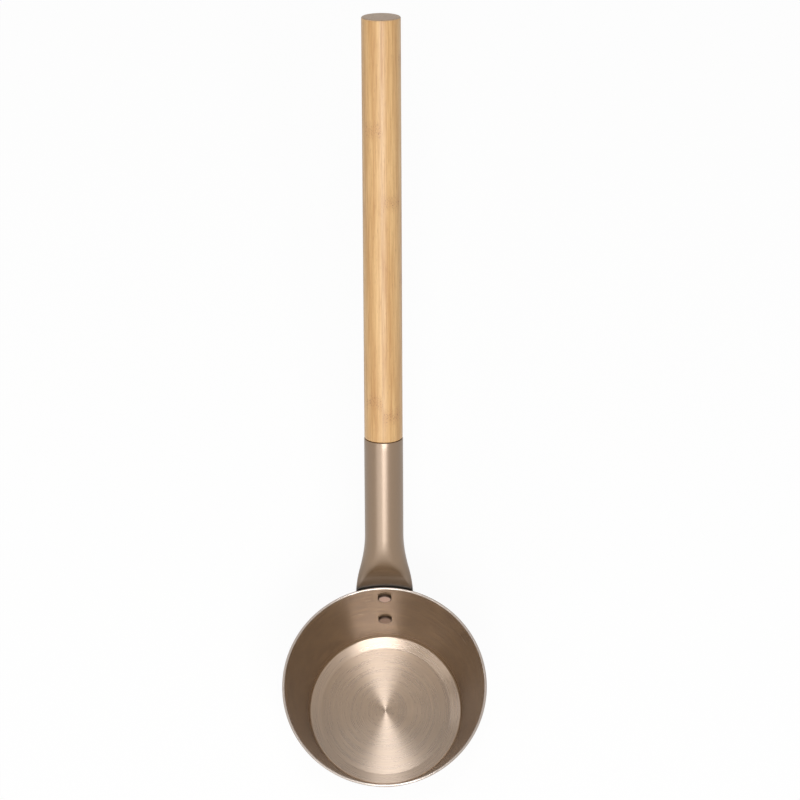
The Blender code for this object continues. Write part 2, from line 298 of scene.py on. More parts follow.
def wall_streaks(tree, size):
    """The wall was brushed by hand, so its streaks are coarser and less even; they also carry
    painted shade.
    """
    noise = ringed(tree, WALL_PITCH, WALL_ARCS, WALL_DETAIL)
    streaks = spread(tree, noise, *WALL_CONTRAST, 0.0, 1.0)
    return maths(tree, "MULTIPLY", streaks, on_the_wall(tree, size))


print("streaks inside the wall are", 1000 * WALL_PITCH, "mm wide")

# %% The bowl's metal
BOWL_INDEX = 2.1
BOWL_ROUGHNESS = (0.25, 0.31)
BOWL_CONTRAST = (0.36, 0.64)
RING_STRETCH = 0.90
QUARTER_TURN = 0.25
RIM_METAL = rgb(0.33, 0.26, 0.21)
# The polished edge begins this far below the top, and is complete a little higher.
RIM_START, RIM_FULL = 0.0009, 0.00054


def ring_height(tree, fine):
    return maths(tree, "ADD", fine, wall_streaks(tree, WALL_RELIEF))


def ring_roughness(tree, fine):
    own = graded(tree, fine, *BOWL_ROUGHNESS)
    return maths(tree, "SUBTRACT", own, on_the_wall(tree, WALL_SMOOTHER))


def bowl_colour(tree, fine):
    """The champagne tone, painted shade in streaks inside the wall, and a paler polished edge."""
    tone = mixed(tree, spread(tree, fine, *BOWL_CONTRAST, 0.0, 1.0), METAL_DARK, METAL_LIGHT)
    # Partly real brush streaks, partly painted shade that darkens the whole inside of the wall.
    tone = mixed(tree, wall_streaks(tree, WALL_SHADING), tone, WALL_SHADE)
    height = height_of(tree, position(tree))
    edge = spread(tree, height, BOWL_HEIGHT - RIM_START, BOWL_HEIGHT - RIM_FULL, 0.0, 1.0)
    return mixed(tree, edge, tone, RIM_METAL)


def ring_tangent(tree):
    """The direction of the rings at each point: a quarter turn from the way outwards."""
    split = step(tree, "ShaderNodeSeparateXYZ", position(tree)).node
    back = maths(tree, "MULTIPLY", split.outputs[1], -1.0)
    along = step(tree, "ShaderNodeCombineXYZ", back, split.outputs[0], 0.0)
    return vector_maths(tree, "NORMALIZE", along)


bowl_metal, tree, shader = champagne("champagne_bowl", BOWL_INDEX, ring_marks,
                                     bowl_colour, ring_height, ring_roughness)
plug(tree, shader, "Anisotropic", RING_STRETCH)
plug(tree, shader, "Anisotropic Rotation", QUARTER_TURN)
plug(tree, shader, "Tangent", ring_tangent(tree))
print("bowl metal:", len(tree.nodes), "nodes")

# %% The tube's metal
TUBE_INDEX = 1.9
TUBE_ROUGHNESS = (0.31, 0.37)
TUBE_STRETCH = 0.4
TUBE_RELIEF = 0.25
TUBE_LIGHTEST = 0.4
TUBE_MARK_WIDTH = 0.0004
TUBE_MARK_LENGTH = 0.004
TUBE_DETAIL = 3.0
# Painted shadow: a near-black tone in the crease just above the bowl's rim.
CREASE_SHADOW = rgb(0.012, 0.008, 0.005)
CREASE_SHADOW_HEIGHT = 0.0022
# Painted shade: a darker tone over the bend, fading out higher up.
SHADE = rgb(0.080, 0.046, 0.022)
SHADE_HEIGHT = 0.017
SHADE_SHARE = 0.7
BOWL_SIDE = 0.4 * TUBE_RADIUS


def crosswise_marks(tree):
    """Short marks round the tube, read from the way its skin was laid out when it was built."""
    laid = step(tree, "ShaderNodeAttribute", attribute_name="along_tube", out=1)
    sizes = (1 / TUBE_MARK_LENGTH, 1 / TUBE_MARK_LENGTH, 1 / TUBE_MARK_WIDTH)
    return grain(tree, vector_maths(tree, "MULTIPLY", laid, sizes), TUBE_DETAIL, SCRATCHY)


def tube_colour(tree, fine):
    """The champagne tone, painted shade on the bend, and painted shadow in the crease at the rim.
    """
    light = spread(tree, fine, 0.0, 1.0, 0.0, TUBE_LIGHTEST)
    tone = mixed(tree, light, METAL_DARK, METAL_LIGHT)
    height = height_of(tree, position(tree))
    crease_shadow_top, shade_top = BOWL_HEIGHT + CREASE_SHADOW_HEIGHT, BOWL_HEIGHT + SHADE_HEIGHT
    # Painted shade and painted shadow, only on the side of the tube towards the bowl.
    bend_shade = spread(tree, height, crease_shadow_top, shade_top, SHADE_SHARE, 0.0)
    low = spread(tree, height, BOWL_HEIGHT, crease_shadow_top, 1.0, 0.0)
    laid = step(tree, "ShaderNodeAttribute", attribute_name="along_tube", out=1)
    towards_bowl = step(tree, "ShaderNodeSeparateXYZ", laid)
    bowl_side = spread(tree, towards_bowl, 0.0, BOWL_SIDE, 0.0, 1.0)
    tone = mixed(tree, maths(tree, "MULTIPLY", bend_shade, bowl_side), tone, SHADE)
    return mixed(tree, maths(tree, "MULTIPLY", low, bowl_side), tone, CREASE_SHADOW)


def tube_height(tree, fine):
    return maths(tree, "MULTIPLY", fine, TUBE_RELIEF)


def tube_roughness(tree, fine):
    return graded(tree, fine, *TUBE_ROUGHNESS)


tube_metal, tree, shader = champagne("champagne_tube", TUBE_INDEX, crosswise_marks,
                                     tube_colour, tube_height, tube_roughness)
plug(tree, shader, "Anisotropic", TUBE_STRETCH)
plug(tree, shader, "Tangent", step(tree, "ShaderNodeAttribute", attribute_name="way_up", out=1))
print("tube metal:", len(tree.nodes), "nodes")

# %% [markdown]
# ## A lathe in Geometry Nodes
# The bowl, the bar, the rivets and the screw are all turned about an axis. So we build one
# lathe and use it for all of them. Its input is half a section: a few corners joined by
# edges, where each corner says how far it is rounded. The tree rounds the corners, cuts the
# long straight runs into short rows, and wraps the rows round the axis as a grid of points.

# %% The lathe
WELD = 0.000002


def new_tree(name, inputs):
    """An empty Geometry Nodes tree with named inputs, and its two end nodes."""
    tree = bpy.data.node_groups.new(name, "GeometryNodeTree")
    sockets = [("Geometry", "NodeSocketGeometry")] + inputs
    for label, kind in sockets:
        tree.interface.new_socket(name=label, in_out="INPUT", socket_type=kind)
    tree.interface.new_socket(name="Geometry", in_out="OUTPUT", socket_type="NodeSocketGeometry")
    return tree, tree.nodes.new("NodeGroupInput").outputs, tree.nodes.new("NodeGroupOutput").inputs


def whole(tree, operation, *values):
    return step(tree, "FunctionNodeIntegerMath", *values, operation=operation)


def finish_tree(tree, shape, material, end):
    shape = step(tree, "GeometryNodeRealizeInstances", shape)
    shape = step(tree, "GeometryNodeSetMaterial", shape, True, material)
    tree.links.new(shape, end[0])


def lathe_tree():
    sizes = [("Segments", "NodeSocketInt"), ("Corner Steps", "NodeSocketInt"),
             ("Row Length", "NodeSocketFloat"), ("Sharp Angle", "NodeSocketFloat"),
             ("Material", "NodeSocketMaterial")]
    tree, given, end = new_tree("lathe", sizes)
    rounding = step(tree, "GeometryNodeInputNamedAttribute", "rounding", data_type="FLOAT")
    line = step(tree, "GeometryNodeMeshToCurve", given["Geometry"])
    fillet = tree.nodes.new("GeometryNodeFilletCurve")
    fillet.mode = "POLY"
    tree.links.new(line, fillet.inputs["Curve"])
    tree.links.new(rounding, fillet.inputs["Radius"])
    tree.links.new(given["Corner Steps"], fillet.inputs["Count"])
    # A straight run longer than one row gets as many cuts as rows fit in it.
    here = step(tree, "GeometryNodeInputPosition")
    number = step(tree, "GeometryNodeInputIndex")
    after = whole(tree, "ADD", number, 1)
    there = step(tree, "GeometryNodeFieldAtIndex", here, after, data_type="FLOAT_VECTOR")
    run = vector_maths(tree, "DISTANCE", here, there)
    cuts = maths(tree, "FLOOR", maths(tree, "DIVIDE", run, given["Row Length"]))
    rows = step(tree, "GeometryNodeSubdivideCurve", fillet.outputs[0], cuts)
    rows = step(tree, "GeometryNodeCurveToPoints", rows, mode="EVALUATED")
    count = step(tree, "GeometryNodeAttributeDomainSize", rows, component="POINTCLOUD")
    # The grid has one column of points for each step round the axis. Its own size is lost,
    # because every point is then set where the section says.
    columns = whole(tree, "ADD", given["Segments"], 1)
    grid = step(tree, "GeometryNodeMeshGrid", 1.0, 1.0, columns, count).node
    column = whole(tree, "DIVIDE_FLOOR", number, count)
    row = whole(tree, "MODULO", number, count)
    section = step(tree, "GeometryNodeSampleIndex", rows, here, row, data_type="FLOAT_VECTOR")
    turn = maths(tree, "DIVIDE", maths(tree, "MULTIPLY", column, 2 * pi), given["Segments"])
    wrapped = step(tree, "ShaderNodeVectorRotate", section, None, turn, rotation_type="Z_AXIS")
    shape = step(tree, "GeometryNodeStoreNamedAttribute", grid.outputs["Mesh"], True, "UVMap",
                 grid.outputs["UV Map"], data_type="FLOAT2", domain="CORNER")
    shape = step(tree, "GeometryNodeSetPosition", shape, True, wrapped)
    shape = step(tree, "GeometryNodeMergeByDistance", shape, True, WELD)
    shape = step(tree, "GeometryNodeSetShadeSmooth", shape, True, True, domain="FACE")
    edge = step(tree, "GeometryNodeInputMeshEdgeAngle")
    sharp = maths(tree, "GREATER_THAN", edge, given["Sharp Angle"])
    shape = step(tree, "GeometryNodeSetShadeSmooth", shape, sharp, False, domain="EDGE")
    finish_tree(tree, shape, given["Material"], end)
    return tree


LATHE = lathe_tree()
print("lathe:", len(LATHE.nodes), "nodes")

# %% [markdown]
# ## From a tree to a plain mesh
# A Geometry Nodes modifier takes its values by the identifier of each input socket, not by
# the name that you see. Once the values are set, the result is read back as an ordinary mesh.
# The modifier goes away, so the piece is only vertices and faces from then on.

# %% Use a tree on a mesh
def add_piece(name, mesh):
    mesh.name = name
    piece = bpy.data.objects.new(name, mesh)
    bpy.context.scene.collection.objects.link(piece)
    return piece


def grow(name, start, tree, **values):
    """The mesh that a tree makes from a start mesh, with the tree's inputs set by name."""
    helper = add_piece(name + "_start", start)
    modifier = helper.modifiers.new("grow", "NODES")
    modifier.node_group = tree
    labels = {item.name: item.identifier for item in tree.interface.items_tree
              if item.in_out == "INPUT"}
    for label, value in values.items():
        modifier[labels[label.replace("_", " ")]] = value
    shown = helper.evaluated_get(bpy.context.evaluated_depsgraph_get())
    mesh = bpy.data.meshes.new_from_object(shown)
    bpy.data.objects.remove(helper)
    return mesh


def section_mesh(corners):
    """Corners of half a section as (radius, height, rounding), joined by edges."""
    mesh = bpy.data.meshes.new("section")
    edges = [(k, k + 1) for k in range(len(corners) - 1)]
    mesh.from_pydata([(radius, 0.0, height) for radius, height, rounding in corners], edges, [])
    rounding = mesh.attributes.new("rounding", "FLOAT", "POINT")
    rounding.data.foreach_set("value", [corner[2] for corner in corners])
    return mesh


def face_outwards(mesh):
    """Turn every face outwards; a closed shape turned inside out has a negative volume."""
    shape = bmesh.new()
    shape.from_mesh(mesh)
    bmesh.ops.recalc_face_normals(shape, faces=shape.faces)
    if shape.calc_volume(signed=True) < 0:
        bmesh.ops.reverse_faces(shape, faces=shape.faces)
    volume = shape.calc_volume(signed=True)
    shape.to_mesh(mesh)
    shape.free()
    return volume


SHARP_ANGLE = radians(30.0)


def turned(name, corners, material, segments, corner_steps, row_length):
    mesh = grow(name, section_mesh(corners), LATHE, Segments=segments,
                Corner_Steps=corner_steps, Row_Length=row_length,
                Sharp_Angle=SHARP_ANGLE, Material=material)
    volume = round(face_outwards(mesh) * 1e6, 2)
    print(name, "has", len(mesh.polygons), "faces and", volume, "cubic centimetres")
    return mesh


# %% [markdown]
# ## The bowl
# The bowl was spun from one round sheet: a flat floor that rises a little towards its edge, a
# tight corner, a wall that leans out by twelve degrees and a rim that is rounded over. A spun
# bowl follows a rule, so seven corners of its section are enough for the lathe.

# %% The bowl's section, turned
FLOOR_EDGE_ROUNDING = 0.0008
RIM_FULLNESS = 0.995
BOWL_SEGMENTS = 256


def wall_radius(height):
    """The outer wall's radius at a height. The rim's round edge sets the full width."""
    half = BOWL_SHEET / 2
    touch = RIM_RADIUS - half + half * cos(WALL_DRAFT)
    touch_height = BOWL_HEIGHT - half - half * sin(WALL_DRAFT)
    return touch + (height - touch_height) * tan(WALL_DRAFT)


sheet_across = BOWL_SHEET / cos(WALL_DRAFT)
rim_rounding = BOWL_SHEET / 2 * RIM_FULLNESS
edge_rise, wall_lean = tan(FLOOR_EDGE_SLOPE), tan(WALL_DRAFT)
inner_foot = wall_radius(BOWL_SHEET) - sheet_across
edge_width = (inner_foot - FLOOR_FLAT_RADIUS) / (1 - edge_rise * wall_lean)
bowl_corners = [
    (0.0, BOWL_SHEET, 0.0),
    (FLOOR_FLAT_RADIUS, BOWL_SHEET, FLOOR_EDGE_ROUNDING),
    (FLOOR_FLAT_RADIUS + edge_width, BOWL_SHEET + edge_rise * edge_width, INNER_CORNER_RADIUS),
    (wall_radius(BOWL_HEIGHT) - sheet_across, BOWL_HEIGHT, rim_rounding),
    (wall_radius(BOWL_HEIGHT), BOWL_HEIGHT, rim_rounding),
    (wall_radius(0.0), 0.0, OUTER_CORNER_RADIUS),
    (0.0, 0.0, 0.0),
]
bowl = add_piece("bowl_spun", turned("bowl", bowl_corners, bowl_metal, segments=BOWL_SEGMENTS,
                                     corner_steps=12, row_length=0.0015))
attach(bowl, "root")
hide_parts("bowl")

# %% [markdown]
# ## The socket tube
# One end of a round tube is pressed flat, bent down against the bowl's wall and riveted. The
# metal keeps its length round the tube while it is flattened, so the flat end is wider than
# the tube. Each loop of points below is a slot shape somewhere between flat and round, placed
# along the tube's middle line. The flat end also follows the curve of the bowl.

# %% The tube's middle line
def spine_start():
    """The (y, z) point where the tab's middle line leaves the wall's slope."""
    corner_height = BOWL_HEIGHT + BEND_ABOVE_RIM
    offset = (FIT_GAP + TAB_THICKNESS / 2) / cos(WALL_DRAFT)
    corner = Vector((wall_radius(corner_height) + offset, corner_height))
    tangent = BEND_RADIUS * tan(BEND_ANGLE / 2)
    return corner - tangent * Vector((sin(WALL_DRAFT), cos(WALL_DRAFT)))


def spine(distance):
    """Point and slope at a distance past the bend's start; negative is down the tab."""
    slope = TAB_SLOPE - min(max(distance / BEND_RADIUS, 0.0), BEND_ANGLE)
    first = Vector((sin(TAB_SLOPE), -cos(TAB_SLOPE)))
    now = Vector((sin(slope), -cos(slope)))
    past = min(distance, 0.0) + max(distance - BEND_RADIUS * BEND_ANGLE, 0.0)
    point = spine_start() + BEND_RADIUS * (first - now)
    return point + past * Vector((cos(slope), sin(slope))), slope


def opening(distance):
    """0 where the tube is pressed flat and 1 where it is round."""
    t = min(max(distance / RAMP_LENGTH, 0.0), 1.0)
    slope = 2 / (2 - RAMP_START_BLEND - RAMP_END_BLEND)
    if t < RAMP_START_BLEND:
        return slope * t * t / (2 * RAMP_START_BLEND)
    if t > 1 - RAMP_END_BLEND:
        return 1 - slope * (1 - t) * (1 - t) / (2 * RAMP_END_BLEND)
    return slope * (t - RAMP_START_BLEND / 2)


print("the mouth is", round(spine(TUBE_LENGTH)[0][1] * 1000, 1), "mm above the floor")

# %% Loops of the tube's skin
TUBE_POINTS = 160
MOUTH_ROUNDING = 0.00025
CORNER_ROWS = 16
TAB_ROWS = 14
RAMP_ROWS = 90
SOCKET_ROWS = 12
MOUTH_ROWS = 4


def slot_loop(width, height, softness):
    """Points round a slot shape, spread by its length and by how much it turns.

    A softness of 1 draws an ellipse instead, and values between mix the two.
    """
    count = TUBE_POINTS // 4
    radius = height / 2
    flat = max(width / 2 - radius, 0.0)
    flat_share = 0.5 * flat / (flat + radius * pi / 2)
    quarter = []
    for k in range(count):
        share = k / count
        if share < flat_share:
            x, n = share / flat_share * flat, -radius
        else:
            turn = (share - flat_share) / (1 - flat_share) * pi / 2
            x, n = flat + radius * sin(turn), -radius * cos(turn)
        round_x, round_n = (flat + radius) * sin(share * pi / 2), -radius * cos(share * pi / 2)
        quarter.append((x + softness * (round_x - x), n + softness * (round_n - n)))
    half = quarter + [(flat + radius, 0.0)] + [(x, -n) for x, n in reversed(quarter[1:])]
    return half + [(-x, -n) for x, n in half]


def tube_loop(distance, shrink, narrowing=0.0):
    """A loop of the skin. shrink is 0 outside and the wall's thickness inside."""
    opened = opening(distance)
    middle = 2 * TUBE_RADIUS - TUBE_WALL
    high = TUBE_WALL + opened * (middle - TUBE_WALL)
    wide = pi * middle / 2 - (pi / 2 - 1) * high
    softness = RAMP_SOFTNESS * opened
    high += RAMP_FULLNESS * opened * opened * (1 - opened) * middle
    width = wide + TUBE_WALL - 2 * shrink - 2 * narrowing
    point, slope = spine(distance)
    across = Vector((sin(slope), -cos(slope)))
    loop = []
    for x, n in slot_loop(width, high + TUBE_WALL - 2 * shrink, softness):
        y, z = point + n * across
        curve = (1 - opened) / y
        if curve:
            x, y = sin(x * curve) / curve, y - (1 - cos(x * curve)) / curve
        loop.append((x, y, z))
    return loop


def stations():
    """Distances, shrinks and narrowings of the outer loops, from the tab's end to the mouth."""
    bend_drop = (BOWL_HEIGHT - spine_start()[1]) / cos(WALL_DRAFT)
    length = (BOWL_HEIGHT - RIVET_LOWER_HEIGHT) / cos(WALL_DRAFT) - bend_drop + TAB_BELOW_RIVET
    corner = TAB_CORNER_RADIUS
    found = []
    for k in range(CORNER_ROWS + 1):
        a = pi / 2 * k / CORNER_ROWS
        found.append((-length + corner * (1 - cos(a)), 0.0, corner * (1 - sin(a))))
    for k in range(1, TAB_ROWS):
        found.append((-(length - corner) * (1 - k / TAB_ROWS), 0.0, 0.0))
    for k in range(RAMP_ROWS + 1):
        found.append((RAMP_LENGTH * k / RAMP_ROWS, 0.0, 0.0))
    for k in range(1, SOCKET_ROWS):
        found.append((RAMP_LENGTH + (TUBE_LENGTH - RAMP_LENGTH) * k / SOCKET_ROWS, 0.0, 0.0))
    edge = MOUTH_ROUNDING
    for k in range(MOUTH_ROWS + 1):
        a = pi / 2 * k / MOUTH_ROWS
        found.append((TUBE_LENGTH - edge * (1 - sin(a)), edge * (1 - cos(a)), 0.0))
    return found


print(len(stations()), "loops of", len(tube_loop(0.0, 0.0)), "points")

# %% Join the loops into a tube
THINNEST_HOLLOW = 0.001
TUBE_SHARP_ANGLE = radians(32.0)


def skin(shape, loops):
    """Quads between successive loops; gives back the loops' vertices."""
    rings = [[shape.verts.new(point) for point in loop] for loop in loops]
    for low, high in zip(rings, rings[1:]):
        for k in range(TUBE_POINTS):
            n = (k + 1) % TUBE_POINTS
            shape.faces.new((low[k], low[n], high[n], high[k]))
    return rings


def close_end(shape, ring):
    """Close a slot-shaped ring with a ladder of faces between its two long sides."""
    half = TUBE_POINTS // 2
    for k in range(-TUBE_POINTS // 4, TUBE_POINTS // 4):
        corners = [ring[k], ring[k + 1], ring[half - k - 1], ring[half - k]]
        shape.faces.new([v for i, v in enumerate(corners) if v not in corners[:i]])


def tube_mesh():
    outside = stations()
    cavity = 2 * TUBE_RADIUS - 2 * TUBE_WALL
    inside = [place[0] for place in outside if opening(place[0]) * cavity >= THINNEST_HOLLOW]
    shape = bmesh.new()
    outer = skin(shape, [tube_loop(*place) for place in outside])
    inner = skin(shape, [tube_loop(distance, TUBE_WALL) for distance in inside])
    close_end(shape, outer[0])
    close_end(shape, inner[0])
    for k in range(TUBE_POINTS):
        n = (k + 1) % TUBE_POINTS
        shape.faces.new((outer[-1][k], outer[-1][n], inner[-1][n], inner[-1][k]))
    bmesh.ops.recalc_face_normals(shape, faces=shape.faces)
    mesh = bpy.data.meshes.new("tube")
    shape.to_mesh(mesh)
    shape.free()
    # Lay the skin out on an even round tube, so that brush marks can run along it.
    laid = mesh.attributes.new("along_tube", "FLOAT_VECTOR", "POINT")
    distances = [place[0] for place in outside] + inside
    way_up = mesh.attributes.new("way_up", "FLOAT_VECTOR", "POINT")
    for row, distance in enumerate(distances):
        slope = spine(distance)[1]
        for k in range(TUBE_POINTS):
            a = 2 * pi * k / TUBE_POINTS
            place = (TUBE_RADIUS * cos(a), TUBE_RADIUS * sin(a), distance)
            laid.data[row * TUBE_POINTS + k].vector = place
            way_up.data[row * TUBE_POINTS + k].vector = (0.0, cos(slope), sin(slope))
    mesh.materials.append(tube_metal)
    mesh.shade_smooth()
    mesh.set_sharp_from_angle(angle=TUBE_SHARP_ANGLE)
    return mesh


tube = add_piece("socket_tube", tube_mesh())
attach(tube, "root")
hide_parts("handle_socket")
print("socket tube:", len(tube.data.polygons), "faces")

# %% [markdown]
# ## The rivets
# Two rivets clamp the flat tab to the wall. Each has a low flat head on either side. They are
# the same piece twice, so a second small tree sets copies of one rivet at even steps down the
# wall, turned to stand square to it.

# %% Rivet metal
DULL_GRAIN = 0.0004
DULL_DETAIL = 3.0
DULL_BUMP = 0.3
SATIN_SPREAD = 0.05
RIVET_DARK = rgb(0.46, 0.365, 0.34)
RIVET_LIGHT = rgb(0.64, 0.51, 0.48)
RIVET_ROUGHNESS = 0.42
# A darker tone on the lower rivet, fading out higher up.
RIVET_LOWER_DARK = rgb(0.24, 0.178, 0.15)
LOWER_DARK_FULL, LOWER_DARK_NONE = RIVET_LOWER_HEIGHT + 0.006, RIVET_LOWER_HEIGHT + 0.020
# Painted shade: a dark ring round the edge of each rivet head.
RIVET_EDGE_SHADE = rgb(0.07, 0.05, 0.04)
EDGE_SHADE_START, EDGE_SHADE_FULL = 0.76, 0.92


def dull_marks(tree):
    scaled = vector_maths(tree, "MULTIPLY", position(tree), (1 / DULL_GRAIN,) * 3)
    return grain(tree, scaled, DULL_DETAIL, SCRATCHY)


def plain_metal(name, dark, light, roughness, darkening=None):
    """A satin metal. An optional function, given the tree and the tone, gives back a new tone."""
    material, tree, shader = new_material(name)
    fine = dull_marks(tree)
    tone = mixed(tree, fine, dark, light)
    if darkening:
        tone = darkening(tree, tone)
    plug(tree, shader, "Base Color", tone)
    plug(tree, shader, "Metallic", 1.0)
    satin = graded(tree, fine, roughness - SATIN_SPREAD, roughness + SATIN_SPREAD)
    plug(tree, shader, "Roughness", satin)
    plug(tree, shader, "Normal", bumped(tree, fine, DULL_BUMP, MARK_DEPTH))
    return material


def rivet_darkening(tree, tone):
    """The lower rivet is darker, and painted shade darkens each head towards its edge."""
    height = height_of(tree, position(tree))
    low = spread(tree, height, LOWER_DARK_FULL, LOWER_DARK_NONE, 1.0, 0.0)
    tone = mixed(tree, low, tone, RIVET_LOWER_DARK)
    # Painted shade at the edge of each head.
    off_axis = step(tree, "ShaderNodeAttribute", attribute_name="off_axis", out=2)
    return mixed(tree, spread(tree, off_axis, EDGE_SHADE_START, EDGE_SHADE_FULL, 0.0, 1.0), tone, RIVET_EDGE_SHADE)


rivet_metal = plain_metal("rivet_aluminium", RIVET_DARK, RIVET_LIGHT, RIVET_ROUGHNESS, rivet_darkening)
print("rivet metal:", len(rivet_metal.node_tree.nodes), "nodes")


# %% A row of rivets
def rivet_corners():
    """Local Z runs out of the wall and is 0 on its outer side."""
    inner_radius = RIM_RADIUS - BOWL_SHEET - BOWL_HEIGHT * tan(WALL_DRAFT)
    sag = RIVET_HEAD_RADIUS ** 2 / (2 * inner_radius)
    inner = -(BOWL_SHEET + FIT_GAP + sag)
    outer = FIT_GAP + TAB_THICKNESS + FIT_GAP
    head = RIVET_HEAD_RADIUS
    edge = RIVET_HEAD_HEIGHT / 2
    return [(0.0, outer + RIVET_HEAD_HEIGHT, 0.0), (head, outer + RIVET_HEAD_HEIGHT, edge),
            (head, outer, 0.0), (RIVET_SHANK_RADIUS, outer, 0.0), (RIVET_SHANK_RADIUS, inner, 0.0),
            (head, inner, 0.0), (head, inner - RIVET_HEAD_HEIGHT, edge),
            (0.0, inner - RIVET_HEAD_HEIGHT, 0.0)]


def row_tree():
    sizes = [("Count", "NodeSocketInt"), ("First", "NodeSocketVector"),
             ("Last", "NodeSocketVector"), ("Tilt", "NodeSocketVector"),
             ("Material", "NodeSocketMaterial")]
    tree, given, end = new_tree("rivet row", sizes)
    line = step(tree, "GeometryNodeMeshLine", given["Count"], given["First"], given["Last"],
                mode="END_POINTS")
    copies = tree.nodes.new("GeometryNodeInstanceOnPoints")
    tree.links.new(line, copies.inputs["Points"])
    tree.links.new(given["Geometry"], copies.inputs["Instance"])
    tilt = step(tree, "FunctionNodeEulerToRotation", given["Tilt"])
    tree.links.new(tilt, copies.inputs["Rotation"])
    finish_tree(tree, copies.outputs[0], given["Material"], end)
    return tree


def on_wall(height):
    return (0.0, wall_radius(height), height)


one_rivet = turned("rivet", rivet_corners(), rivet_metal, segments=64, corner_steps=8,
                   row_length=0.0005)
off_axis = one_rivet.attributes.new("off_axis", "FLOAT", "POINT")
shares = [vertex.co.xy.length / RIVET_HEAD_RADIUS for vertex in one_rivet.vertices]
off_axis.data.foreach_set("value", shares)
row = grow("rivets", one_rivet, row_tree(), Count=2, First=on_wall(BOWL_HEIGHT - RIVET_UPPER_DROP),
           Last=on_wall(RIVET_LOWER_HEIGHT), Tilt=(-pi / 2 - WALL_DRAFT, 0.0, 0.0),
           Material=rivet_metal)
rivets = add_piece("rivet_pair", row)
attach(rivets, "root")
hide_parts("rivet_upper", "rivet_lower")
print("rivets:", len(rivets.data.polygons), "faces")

# %% [markdown]
# ## Bamboo
# The bar is turned from laminated bamboo: wide strips glued side by side and in layers. Each
# strip has its own tone and its own joints, where the cane had a node every hand's width. To
# draw that, the bar's position is first turned so that Z runs along it. Then each strip gets
# a number, and the number picks its tone and shifts its nodes. Long thin noise makes the
# fibres, and the end of the bar shows the same fibres as dots.

# %% Where the bar is
def frame_along(origin, direction):
    """A frame at a point of the plane x = 0 whose local Z runs along a (y, z) direction."""
    turn = atan2(direction[0], direction[1])
    return Matrix.Translation((0.0, *origin)) @ Matrix.Rotation(-turn, 4, "X")


mouth, rise = spine(TUBE_LENGTH)
mouth_frame = frame_along(mouth, (cos(rise), sin(rise)))
print("the bar leans", round(rise * 180 / pi, 1), "degrees above level")

# %% The bamboo's layout
STRIP_WIDTH = 0.0118
LAYER_HEIGHT = 0.0056
SEAM_OFF_CENTRE = 0.0003


def along_bar(tree):
    """The position, turned and moved so that Z runs up the bar from the tube's mouth."""
    mapping = tree.nodes.new("ShaderNodeMapping")
    mapping.vector_type = "TEXTURE"
    mapping.inputs["Location"].default_value = mouth_frame.translation
    mapping.inputs["Rotation"].default_value = mouth_frame.to_euler()
    tree.links.new(position(tree), mapping.inputs["Vector"])
    return mapping.outputs[0]


def strip_numbers(tree, side, depth):
    """Whole numbers of the strip across and in depth, and the distance to the nearest seam."""
    across = maths(tree, "DIVIDE", maths(tree, "ADD", side, SEAM_OFF_CENTRE), STRIP_WIDTH)
    layer = maths(tree, "DIVIDE", depth, LAYER_HEIGHT)
    seam_across = maths(tree, "MULTIPLY", maths(tree, "PINGPONG", across, 0.5), STRIP_WIDTH)
    seam_layer = maths(tree, "MULTIPLY", maths(tree, "PINGPONG", layer, 0.5), LAYER_HEIGHT)
    seam = maths(tree, "MINIMUM", seam_across, seam_layer)
    return maths(tree, "FLOOR", across), maths(tree, "FLOOR", layer), seam


print("strips are", round(1000 * STRIP_WIDTH, 1), "mm wide")

# %% Fibres
# Each noise here has a size across the bar, a size along it, a detail and a roughness.
BANDS = (0.0042, 0.11, 2.0, 0.5)
FIBRES = (0.0009, 0.030, 4.0, 0.65)
PORES = (0.00032, 0.0045, 1.0, 0.5)
BAND_TONE = 0.30
FIBRE_TONE = 0.42
STRIP_TONES = (0.36, 0.64)
PORE_CONTRAST = (0.62, 0.74)
PORE_SHARE = 0.35
BAMBOO_DARK = rgb(0.50, 0.268, 0.100)
BAMBOO_LIGHT = rgb(0.745, 0.483, 0.225)
BAMBOO_PORE = rgb(0.27, 0.125, 0.05)


def stretched(tree, place, across, along, detail, rough, shift=(0.0, 0.0, 0.0)):
    """Noise with features of one size across the bar and another along it."""
    scaled = vector_maths(tree, "MULTIPLY", place, (1 / across, 1 / across, 1 / along))
    return grain(tree, vector_maths(tree, "ADD", scaled, shift), detail, rough)


def fibre_colour(tree, fibres, place, own, luck):
    """Broad bands and fine streaks in the strip's own tone, which is picked by luck."""
    bands = graded(tree, stretched(tree, place, *BANDS, own), -BAND_TONE, BAND_TONE)
    tone = maths(tree, "ADD", bands, graded(tree, fibres, -FIBRE_TONE, FIBRE_TONE))
    tone = maths(tree, "ADD", tone, spread(tree, luck, 0.0, 1.0, *STRIP_TONES))
    return mixed(tree, tone, BAMBOO_DARK, BAMBOO_LIGHT)


def short_pores(tree, place, own):
    pores = stretched(tree, place, *PORES, own)
    return spread(tree, pores, *PORE_CONTRAST, 0.0, PORE_SHARE)


print("fibres are", 1000 * FIBRES[0], "mm wide and", 1000 * FIBRES[1], "mm long")

# %% Nodes of the cane
# The two strips across the bar have the numbers -1 and 0, and one value each.
FIRST_NODE = (0.0244, 0.0157)
NODE_GAP = (0.1613, 0.1289)
LAYER_SHIFT = 0.047
SWAY = (0.004, 0.1, 1.0, 0.5)
SWAY_SIZE = 0.0016
NODE_CORE, NODE_REACH = 0.0006, 0.0062
NODE_SHARE = 0.35
FLECKS = (0.00055, 0.0010, 2.0, 0.6)
FLECK_CONTRAST = (0.55, 0.66)
FLECK_SHARE = 0.75
BAMBOO_NODE = rgb(0.50, 0.265, 0.115)


